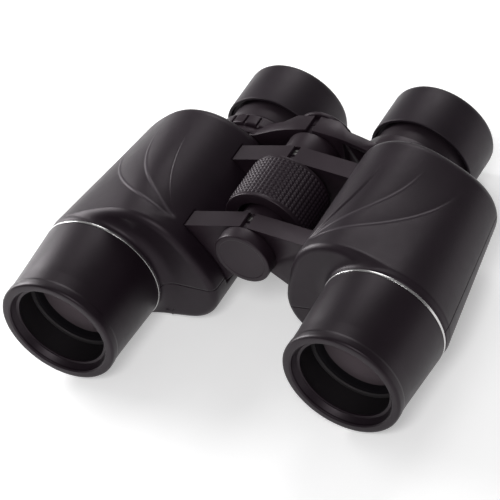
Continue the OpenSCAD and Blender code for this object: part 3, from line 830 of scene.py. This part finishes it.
for side in SIDES:
    add_skin(side, True)
    add_skin(side, False)
    add_objective(side)
    add_eyepiece(side)
    softened(f"{side}_bridge_arm", f"{side}_arm", PLASTIC, 0.4)
    softened(f"{side}_housing", f"{side}_casting", PAINT, 0.35, near_lugs)
    softened(f"{side}_rear_cover", f"{side}_cover_plate", PLASTIC, 0.25, at_rear)

add_turned("wheel_core", "wheel_hub", WHEEL_HUB, HINGE, None, PLASTIC)
add_turned("front_cap", "socket_cap", SOCKET_CAP, HINGE, None, PLASTIC)
add_turned("hinge_sleeve", "rear_sleeve", SLEEVE, HINGE, None, PLASTIC)
add_turned("bridge_end_cap", "bridge_cap", BRIDGE_CAP, HINGE, None, PLASTIC)
add_grip()
add_diopter_ring()

# CAD parts that are seen as they are, by their names without the side
CARRIED = {
    "hinge_axle": ANODISED, "hinge_washers": NYLON, "axle_screws": STEEL, "wheel_bush": BRASS,
    "wheel_washers": NYLON, "focus_rod": STEEL, "drive_pin": STEEL, "bridge_clip": SPRING,
    "bridge_screw": BLACK_SCREW, "objective_cell": ANODISED, "flint_lens": OPTICAL,
    "prism_shelf": ALLOY, "prisms": OPTICAL, "prism_clips": SPRING, "shelf_screws": STEEL,
    "guide_tube": ANODISED, "cover_screws": BLACK_SCREW, "field_lens": OPTICAL,
}
for name, obj in nodes.items():
    kind = name.removeprefix("left_").removeprefix("right_")
    if kind in CARRIED:
        obj.data.materials.clear()
        obj.data.materials.append(CARRIED[kind])

# ---------------------------------------------------------------- floor, light and camera

FLOOR_REACH = 4.0
FLOOR_GAP = 0.0003
CARD_GLOW = 0.4
SKY_STRENGTH = 0.18
MIDDLE = Vector((0.0, 0.02, -0.01))  # what the lights point at

CAMERA_PLACE = Vector((0.91195, -0.99204, 1.10518))
CAMERA_AZIMUTH = math.radians(42.579)
CAMERA_ELEVATION = math.radians(39.373)
CAMERA_ROLL = math.radians(-20.448)
CAMERA_LENS = 319.18
SENSOR_WIDTH = 36


def add_floor():
    signs = ((-1, -1), (1, -1), (1, 1), (-1, 1))
    corners = [(x * FLOOR_REACH, y * FLOOR_REACH, 0) for x, y in signs]
    mesh = bpy.data.meshes.new("floor")
    mesh.from_pydata(corners, [], [(0, 1, 2, 3)])
    card = finish_of("floor_card", (0.86, 0.86, 0.86), 0.9, 700, 0.00002, mottle=0.01)
    shader = card.node_tree.nodes["Principled BSDF"]
    shader.inputs["Emission Color"].default_value = (1, 1, 1, 1)
    shader.inputs["Emission Strength"].default_value = CARD_GLOW
    mesh.materials.append(card)
    floor = bpy.data.objects.new("floor", mesh)
    floor.location = (0, 0, cad_box[0].z - FLOOR_GAP)
    bpy.context.scene.collection.objects.link(floor)


def add_sky():
    world = bpy.data.worlds.new("studio")
    world.use_nodes = True
    background = world.node_tree.nodes["Background"]
    background.inputs["Color"].default_value = (1.0, 0.99, 1.0, 1)
    background.inputs["Strength"].default_value = SKY_STRENGTH
    bpy.context.scene.world = world


def add_light(name, towards, distance, size, power):
    """A soft round light, placed from the middle of the object in a given direction."""
    data = bpy.data.lights.new(name, "AREA")
    data.shape = "DISK"
    data.size = size
    data.energy = power
    light = bpy.data.objects.new(name, data)
    light.location = MIDDLE + Vector(towards).normalized() * distance
    light.rotation_mode = "QUATERNION"
    light.rotation_quaternion = (MIDDLE - light.location).to_track_quat("-Z", "Y")
    light.visible_camera = False
    bpy.context.scene.collection.objects.link(light)


def add_camera():
    """A long lens that looks down at the front, rolled about its line of sight."""
    level = math.cos(CAMERA_ELEVATION)
    back = Vector((math.sin(CAMERA_AZIMUTH) * level, -math.cos(CAMERA_AZIMUTH) * level,
                   math.sin(CAMERA_ELEVATION)))
    right = (-back).cross(Vector((0, 0, 1))).normalized()
    up = right.cross(-back)
    rolled_right = right * math.cos(CAMERA_ROLL) + up * math.sin(CAMERA_ROLL)
    rolled_up = up * math.cos(CAMERA_ROLL) - right * math.sin(CAMERA_ROLL)
    data = bpy.data.cameras.new("camera")
    data.sensor_width = SENSOR_WIDTH
    data.lens = CAMERA_LENS
    data.clip_start = 0.01
    data.clip_end = 20
    camera = bpy.data.objects.new("camera", data)
    turn = Matrix((rolled_right, rolled_up, back)).transposed()
    camera.matrix_world = Matrix.Translation(CAMERA_PLACE) @ turn.to_4x4()
    bpy.context.scene.collection.objects.link(camera)
    bpy.context.scene.camera = camera


add_floor()
add_sky()
add_light("key", (-1.0, 0.12, 0.42), 0.5, 0.25, 2.5)
add_light("front", (0.45, -0.75, 1.0), 1.6, 0.6, 9)
add_light("rear", (-0.2, 1.0, 0.8), 1.6, 0.8, 7)
add_camera()
bpy.context.scene.view_settings.view_transform = "Standard"
